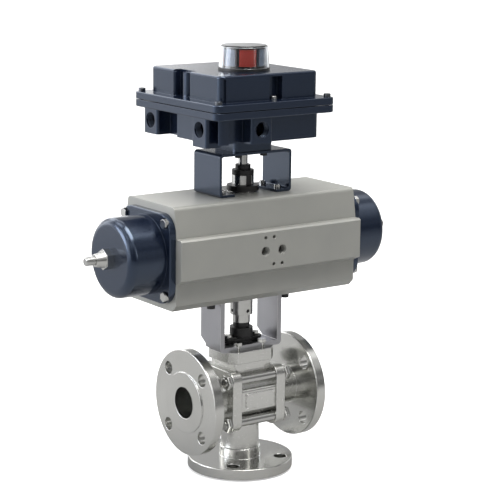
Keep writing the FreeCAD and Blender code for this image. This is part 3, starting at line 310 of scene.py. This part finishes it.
def dress(material, *nodes):
    """Gives CAD nodes a finish in place of their plain one."""
    for node in nodes:
        for slot in frame["nodes"][node].material_slots:
            slot.material = material


def distance_from(tree, place, centre, keep):
    """How far a point lies from an axis through the centre; keep masks the directions that count."""
    shift = tree.nodes.new("ShaderNodeVectorMath")
    shift.operation = "SUBTRACT"
    tree.links.new(place, shift.inputs[0])
    shift.inputs[1].default_value = centre
    flat = tree.nodes.new("ShaderNodeVectorMath")
    flat.operation = "MULTIPLY"
    tree.links.new(shift.outputs[0], flat.inputs[0])
    flat.inputs[1].default_value = keep
    length = tree.nodes.new("ShaderNodeVectorMath")
    length.operation = "LENGTH"
    tree.links.new(flat.outputs[0], length.inputs[0])
    return length.outputs["Value"]


mounts = {mount["name"]: mount for mount in frame["record"]["mounts"]}
port_height = mounts["left_port"]["pos_m"][2]
face_station = -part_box("left_end_cap")[0][0]
ring_pitch = 0.0011
ring_share = 0.12
face_depth = 0.0014
flange_depth = 0.0148
machined_grain_loss = 0.75
machined_gloss = 0.06
cast_steel = make_finish("cast_stainless", light=(0.73, 0.73, 0.71), dark=(0.52, 0.52, 0.495),
                         edge_colour=(0.92, 0.92, 0.92), roughness=0.24, metallic=1.0, grain_scale=600.0,
                         grain_depth=0.00012, edge_radius=0.0013, rough_spread=0.18)
cast_tree = cast_steel.node_tree
cast_place = cast_tree.nodes.new("ShaderNodeTexCoord").outputs["Object"]


def turned_rings(tree, radius, inside):
    """Fine turned rings where the mask is one, and nothing elsewhere."""
    wave = add_math(tree, "SINE", add_math(tree, "MULTIPLY", radius, 2 * math.pi / ring_pitch))
    return add_math(tree, "MULTIPLY", wave, inside)


run_reach = distance_from(cast_tree, cast_place, (0, 0, 0), (1, 0, 0))
run_radius = distance_from(cast_tree, cast_place, (0, 0, port_height), (0, 1, 1))
stem_radius = distance_from(cast_tree, cast_place, (0, 0, 0), (1, 1, 0))
height_above = distance_from(cast_tree, cast_place, (0, 0, 0), (0, 0, 1))
on_run_face = add_math(cast_tree, "GREATER_THAN", run_reach, face_station - face_depth)
on_foot_face = add_math(cast_tree, "LESS_THAN", height_above, face_depth)
on_run_flange = add_math(cast_tree, "GREATER_THAN", run_reach, face_station - flange_depth)
on_foot_flange = add_math(cast_tree, "LESS_THAN", height_above, flange_depth)
rings = add_math(cast_tree, "ADD", turned_rings(cast_tree, run_radius, on_run_face),
                 turned_rings(cast_tree, stem_radius, on_foot_face))
machined = add_math(cast_tree, "MAXIMUM", on_run_flange, on_foot_flange)
cast_skin = cast_tree.nodes["skin"].inputs["Height"]
lost_grain = add_math(cast_tree, "MULTIPLY", machined, machined_grain_loss)
kept_grain = add_math(cast_tree, "MULTIPLY", cast_skin.links[0].from_socket,
                      add_math(cast_tree, "SUBTRACT", 1.0, lost_grain))
skin_height = add_math(cast_tree, "ADD", kept_grain, add_math(cast_tree, "MULTIPLY", rings, ring_share))
cast_tree.links.new(skin_height, cast_skin)
cast_rough = cast_tree.nodes["Principled BSDF"].inputs["Roughness"]
smoother = add_math(cast_tree, "MULTIPLY", machined, machined_gloss)
cast_tree.links.new(add_math(cast_tree, "SUBTRACT", cast_rough.links[0].from_socket, smoother), cast_rough)
dress(cast_steel, "valve_body", "left_end_cap", "right_end_cap")


# The ball, stem, pinion, ties and uncoated screws are bright drawn stainless, smoother than the castings.
# They are turned or headed from bar, and only their edges are worn.
bright_steel = make_finish("bright_stainless", light=(0.62, 0.62, 0.61), dark=(0.52, 0.52, 0.5),
                           edge_colour=(0.85, 0.85, 0.85), roughness=0.16, metallic=1.0, grain_scale=1400.0,
                           grain_depth=0.00005)
dress(bright_steel, "tie_studs", "tie_nuts", "valve_stem", "ball", "pad_bolts", "gland_bolts",
      "housing_screws", "bracket_screws", "stop_screws", "stop_lock_nuts", "switch_shaft", "earth_screw",
      "pinion_circlip", "pinion_washer", "coupling_adaptor", "pinion")


# Eight hexagon nuts close the four ties, two to a tie, outside the ears of the end caps.
# Each is a hexagon blank along its tie, chamfered on both ends.
def finish_piece(piece, name, material, node=None):
    """Names a modelled piece, settles its place in its mesh and ties it to the fixed body."""
    bpy.ops.object.select_all(action="DESELECT")
    bpy.context.view_layer.objects.active = piece
    piece.select_set(True)
    bpy.ops.object.transform_apply(location=True, rotation=True, scale=True)
    piece.name = name
    piece.data.name = name
    piece.data.materials.clear()
    piece.data.materials.append(material)
    bpy.ops.object.shade_smooth_by_angle(angle=math.radians(32))
    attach(piece, "frame")
    if node:
        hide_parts(node)


def hex_blank(flats, height, place, chamfer):
    """A hexagon blank along the run, with the rims of both ends chamfered in edit mode."""
    bpy.ops.object.select_all(action="DESELECT")
    bpy.ops.mesh.primitive_cylinder_add(vertices=6, radius=flats / math.sqrt(3), depth=height, location=place,
                                        rotation=(0, math.pi / 2, 0))
    blank = bpy.context.object
    bpy.ops.object.mode_set(mode="EDIT")
    mesh = bmesh.from_edit_mesh(blank.data)
    for part in list(mesh.faces) + list(mesh.edges) + list(mesh.verts):
        part.select = False
    for rim in mesh.edges:
        if abs(rim.verts[0].co.z - rim.verts[1].co.z) < height / 100:
            rim.select = True
    bmesh.update_edit_mesh(blank.data)
    bpy.ops.mesh.bevel(offset=chamfer, segments=2, profile=0.6)
    bpy.ops.object.mode_set(mode="OBJECT")
    return blank


nut_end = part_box("tie_nuts")[1][0]
stud_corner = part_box("tie_studs")[1]
stud_radius = 0.0055
flats_to_stud = 1.45
nut_flats = 2 * stud_radius * flats_to_stud
nut_height = 0.007
nut_chamfer = 0.0009
nut_reach = nut_end - nut_height / 2
tie_y = stud_corner[1] - stud_radius
tie_z = stud_corner[2] - stud_radius - port_height
for side, side_name in ((-1, "left"), (1, "right")):
    for y_sign, y_name in ((-1, "near"), (1, "far")):
        for z_sign, z_name in ((-1, "lower"), (1, "upper")):
            nut_place = (side * nut_reach, y_sign * tie_y, port_height + z_sign * tie_z)
            nut_name = f"{side_name}_{y_name}_{z_name}_tie_nut"
            nut = hex_blank(nut_flats, nut_height, nut_place, nut_chamfer)
            finish_piece(nut, nut_name, bright_steel, "tie_nuts")


# The stop screw at each end of the actuator sticks out of its lock nut, and its thread shows.
# The thread is one ridge, wound by the Screw modifier and closed at both ends.
def wind_up(outline, pitch, turns, steps, most_sides):
    """Winds a closed outline round its own Z axis, closes both ends and points the faces outwards."""
    winding = outline.modifiers.new("wind", "SCREW")
    winding.axis = "Z"
    winding.screw_offset = pitch
    winding.iterations = turns
    winding.steps = steps
    winding.render_steps = steps
    bpy.ops.object.modifier_apply(modifier="wind")
    bpy.ops.object.mode_set(mode="EDIT")
    bpy.ops.mesh.select_all(action="SELECT")
    bpy.ops.mesh.fill_holes(sides=most_sides)
    bpy.ops.mesh.select_all(action="SELECT")
    bpy.ops.mesh.normals_make_consistent(inside=False)
    bpy.ops.object.mode_set(mode="OBJECT")


def aim_along(piece, axis, place):
    """Stands a piece that was wound round Z at its place, along its real axis."""
    piece.location = place
    piece.rotation_euler = Vector(axis).to_track_quat("Z", "Y").to_euler()


def wind_thread(name, axis, place, radius, depth, pitch, length, material):
    """A thread's ridge along an axis from a place. A depth below zero points it inwards, as in a hole."""
    foot = radius - depth / 2
    half_width = pitch * 0.45
    bpy.ops.object.select_all(action="DESELECT")
    bpy.ops.mesh.primitive_circle_add(vertices=3, radius=abs(depth), location=(0, 0, 0), rotation=(0, 0, 0))
    ridge = bpy.context.object
    bpy.ops.object.mode_set(mode="EDIT")
    mesh = bmesh.from_edit_mesh(ridge.data)
    section = ((foot, -half_width), (radius + depth, 0), (foot, half_width))
    for corner, (out, along) in zip(mesh.verts, section):
        corner.co = (out, 0, along)
    bmesh.update_edit_mesh(ridge.data)
    bpy.ops.object.mode_set(mode="OBJECT")
    wind_up(ridge, pitch, turns=max(1, round(length / pitch) - 1), steps=24, most_sides=4)
    aim_along(ridge, axis, place)
    finish_piece(ridge, name, material)


housing_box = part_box("left_spring_housing")
stop_height = (housing_box[0][2] + housing_box[1][2]) / 2
stop_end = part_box("stop_screws")[1][0]
lock_nut_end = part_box("stop_lock_nuts")[1][0]
stop_pitch = 0.00125
stop_core = 0.0049
stop_crest = 0.0003
nut_gap = 0.0008
end_gap = 0.001
for side, side_name in ((-1, "left"), (1, "right")):
    stop_place = (side * (lock_nut_end + nut_gap), 0, stop_height)
    wind_thread(side_name + "_stop_thread", (side, 0, 0), stop_place, stop_core, stop_crest, stop_pitch,
                stop_end - lock_nut_end - end_gap, bright_steel)


# The ball turns in white fluoroplastic seats, and the stem in a packing of the same.
# The pistons' guide pads, the bushes and the terminal block are white plastic too.
white_plastic = make_finish("white_fluoroplastic", light=(0.82, 0.82, 0.79), dark=(0.76, 0.76, 0.73),
                            edge_colour=(0.85, 0.85, 0.83), roughness=0.45, metallic=0.0, grain_scale=500.0,
                            grain_depth=0.00005)
dress(white_plastic, "side_seats", "bottom_seat", "stem_packing", "left_guide_pad", "right_guide_pad",
      "pinion_bushes", "shaft_bush", "terminal_block")


# Black rubber rings and gaskets close the joints of the valve, the actuator and the switch box.
# They are moulded, with a dull, slightly dusty skin.
rubber = make_finish("black_rubber", light=(0.012, 0.012, 0.012), dark=(0.02, 0.02, 0.02),
                     edge_colour=(0.03, 0.03, 0.03), roughness=0.7, metallic=0.0, grain_scale=700.0,
                     grain_depth=0.0001)
dress(rubber, "body_gaskets", "pinion_seals", "left_piston_seal", "right_piston_seal", "housing_gaskets",
      "lid_seal")


# The bracket between valve and actuator is bent from stainless plate and brushed.
# It stands on the valve's top pad and carries the actuator by four screws. The sensor plate is like it.
plate_steel = make_finish("brushed_stainless_plate", light=(0.42, 0.42, 0.44), dark=(0.33, 0.33, 0.35),
                          edge_colour=(0.85, 0.85, 0.85), roughness=0.3, metallic=1.0, grain_scale=1200.0,
                          grain_depth=0.00008)
dress(plate_steel, "valve_bracket", "sensor_plate")


# The couplings, the gland plate and the cap screws are blackened steel with a faint oil sheen.
# The valve's coupling joins its stem to the pinion, and the upper one joins the pinion to the switch shaft.
black_steel = make_finish("blackened_steel", light=(0.018, 0.018, 0.02), dark=(0.03, 0.03, 0.03),
                          edge_colour=(0.12, 0.12, 0.12), roughness=0.38, metallic=0.3, grain_scale=900.0,
                          grain_depth=0.0001)
dress(black_steel, "gland_plate", "drive_coupling", "actuator_bolts", "coupling_screws", "box_fixing_screws",
      "shaft_coupler")


# The actuator body is an extruded aluminium block with a hard satin grey coat.
# Two air ports are tapped in the middle of its front band.
def thread_entries(names, pitch, material):
    """A tapped thread in each named entry of the record."""
    depth = 0.009
    crest = 0.0006
    for name in names:
        entry = mounts[name]
        inward = -Vector(entry["axis"])
        start = Vector(entry["pos_m"]) + inward * pitch
        radius = entry["dims"]["r_mm"] / 1000
        wind_thread(name + "_thread", inward, start, radius, -crest, pitch, depth, material)


grey_coat = make_finish("grey_anodised", light=(0.385, 0.385, 0.36), dark=(0.325, 0.33, 0.315),
                        edge_colour=(0.5, 0.5, 0.48), roughness=0.36, metallic=0.25, grain_scale=1100.0,
                        grain_depth=0.00006)
dress(grey_coat, "actuator_body")
thread_entries(("air_port_a", "air_port_b"), 0.00134, grey_coat)


# The pistons are plain cast aluminium, and each is pushed inwards by a coil spring of hard-drawn wire.
# The coil is wound by the Screw modifier at one fixed length, though the real spring shortens against its
# housing as its piston moves out.
plain_aluminium = make_finish("plain_aluminium", light=(0.7, 0.7, 0.7), dark=(0.6, 0.6, 0.6),
                              edge_colour=(0.85, 0.85, 0.85), roughness=0.35, metallic=1.0, grain_scale=800.0,
                              grain_depth=0.0001)
dress(plain_aluminium, "left_piston", "right_piston")
spring_steel = make_finish("spring_steel", light=(0.16, 0.16, 0.17), dark=(0.12, 0.12, 0.12),
                           edge_colour=(0.3, 0.3, 0.3), roughness=0.4, metallic=0.8, grain_scale=900.0,
                           grain_depth=0.0001)
dress(spring_steel, "left_return_spring", "right_return_spring")
wire_radius = 0.003
wire_sides = 14
spring_turns = 6
for side, side_name in ((-1, "left"), (1, "right")):
    spring_node = side_name + "_return_spring"
    low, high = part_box(spring_node)
    length = high[0] - low[0]
    coil_radius = (high[2] - low[2]) / 2 - wire_radius
    piston_end, fixed_end = (low[0], high[0]) if side > 0 else (high[0], low[0])
    bpy.ops.object.select_all(action="DESELECT")
    bpy.ops.mesh.primitive_circle_add(vertices=wire_sides, radius=wire_radius, location=(0, 0, 0),
                                      rotation=(0, 0, 0))
    coil = bpy.context.object
    bpy.ops.object.mode_set(mode="EDIT")
    bpy.ops.transform.rotate(value=math.pi / 2, orient_axis="X", center_override=(0, 0, 0))
    bpy.ops.transform.translate(value=(coil_radius, 0, wire_radius))
    bpy.ops.object.mode_set(mode="OBJECT")
    wind_up(coil, (length - 2 * wire_radius) / spring_turns, spring_turns, steps=48, most_sides=wire_sides)
    aim_along(coil, (side, 0, 0), (piston_end, (low[1] + high[1]) / 2, (low[2] + high[2]) / 2))
    finish_piece(coil, side_name + "_coil", spring_steel, spring_node)
    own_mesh(coil)


# The spring housings, the switch bracket and the switch box have a glossy blue-black polyester coat.
# Three conduit entries are tapped in the switch box's base.
black_coat = make_finish("blue_black_coat", light=(0.003, 0.0056, 0.0145), dark=(0.005, 0.0085, 0.02),
                         edge_colour=(0.03, 0.035, 0.05), roughness=0.2, metallic=0.0, grain_scale=700.0,
                         grain_depth=0.00008, coat=0.2, gloss=1.0, tint=(0.56, 0.72, 1.0))
dress(black_coat, "left_spring_housing", "right_spring_housing", "switch_bracket", "box_base", "box_lid")
thread_entries(("near_conduit_entry", "far_conduit_entry", "front_conduit_entry"), 0.0015, black_coat)


# The lid's screws are stainless, and the ones at its corners carry a painted shade of dark grey.
# One node holds them all, so the painted shade is laid on by the distance from the middle.
corner_start = 0.05
lid_steel = make_finish("lid_screw_steel", light=(0.7, 0.7, 0.69), dark=(0.6, 0.6, 0.58),
                        edge_colour=(0.85, 0.85, 0.85), roughness=0.2, metallic=1.0, grain_scale=1400.0,
                        grain_depth=0.00005)
lid_tree = lid_steel.node_tree
lid_place = lid_tree.nodes.new("ShaderNodeTexCoord").outputs["Object"]
corner_reach = distance_from(lid_tree, lid_place, (0, 0, 0), (1, 0, 0))
corner_shade_mask = add_math(lid_tree, "GREATER_THAN", corner_reach, corner_start)
# The dark grey mixed in past corner_start is a painted shade on the corner screws, not a different finish.
corner_painted_shade = lid_tree.nodes.new("ShaderNodeMix")
corner_painted_shade.data_type = "RGBA"
corner_painted_shade.inputs["B"].default_value = (0.14, 0.15, 0.17, 1)
lid_colour = lid_tree.nodes["Principled BSDF"].inputs["Base Color"]
lid_tree.links.new(lid_colour.links[0].from_socket, corner_painted_shade.inputs["A"])
lid_tree.links.new(corner_shade_mask, corner_painted_shade.inputs["Factor"])
lid_tree.links.new(corner_painted_shade.outputs["Result"], lid_colour)
dress(lid_steel, "lid_screws")


# The indicator's rotor and base, the position disc and the cams are black plastic with a fine satin grain.
# The sensor blocks in the switch box are blue.
black_plastic = make_finish("black_plastic", light=(0.012, 0.012, 0.013), dark=(0.018, 0.018, 0.018),
                            edge_colour=(0.03, 0.03, 0.03), roughness=0.35, metallic=0.0, grain_scale=900.0,
                            grain_depth=0.0001)
dress(black_plastic, "position_disc", "dome_base", "indicator_rotor", "switch_cams")
blue_plastic = make_finish("blue_plastic", light=(0.02, 0.07, 0.2), dark=(0.015, 0.05, 0.15),
                           edge_colour=(0.05, 0.12, 0.25), roughness=0.35, metallic=0.0, grain_scale=900.0,
                           grain_depth=0.0001)
dress(blue_plastic, "proximity_sensors")


# Two red and two pale panels on the rotor show the valve's position through a clear moulded dome.
# The dome's gloss is a little uneven, and its edges are darker than its wall.
red_plastic = make_finish("red_panel", light=(0.72, 0.085, 0.06), dark=(0.6, 0.07, 0.05),
                          edge_colour=(0.6, 0.1, 0.07), roughness=0.3, metallic=0.0, grain_scale=600.0,
                          grain_depth=0.00008)
dress(red_plastic, "red_panels")
pale_plastic = make_finish("pale_panel", light=(0.29, 0.34, 0.43), dark=(0.24, 0.29, 0.38),
                           edge_colour=(0.85, 0.83, 0.76), roughness=0.3, metallic=0.0, grain_scale=600.0,
                           grain_depth=0.00008)
dress(pale_plastic, "pale_panels")
clear = make_finish("clear_dome", light=(0.93, 0.95, 0.97), dark=(0.86, 0.9, 0.94),
                    edge_colour=(0.3, 0.34, 0.38), roughness=0.035, metallic=0.0, grain_scale=260.0,
                    grain_depth=0.00002, edge_radius=0.0006, rough_spread=0.05)
dome_shader = clear.node_tree.nodes["Principled BSDF"]
dome_shader.inputs["Transmission Weight"].default_value = 1.0
dome_shader.inputs["IOR"].default_value = 1.49
dress(clear, "indicator_dome")
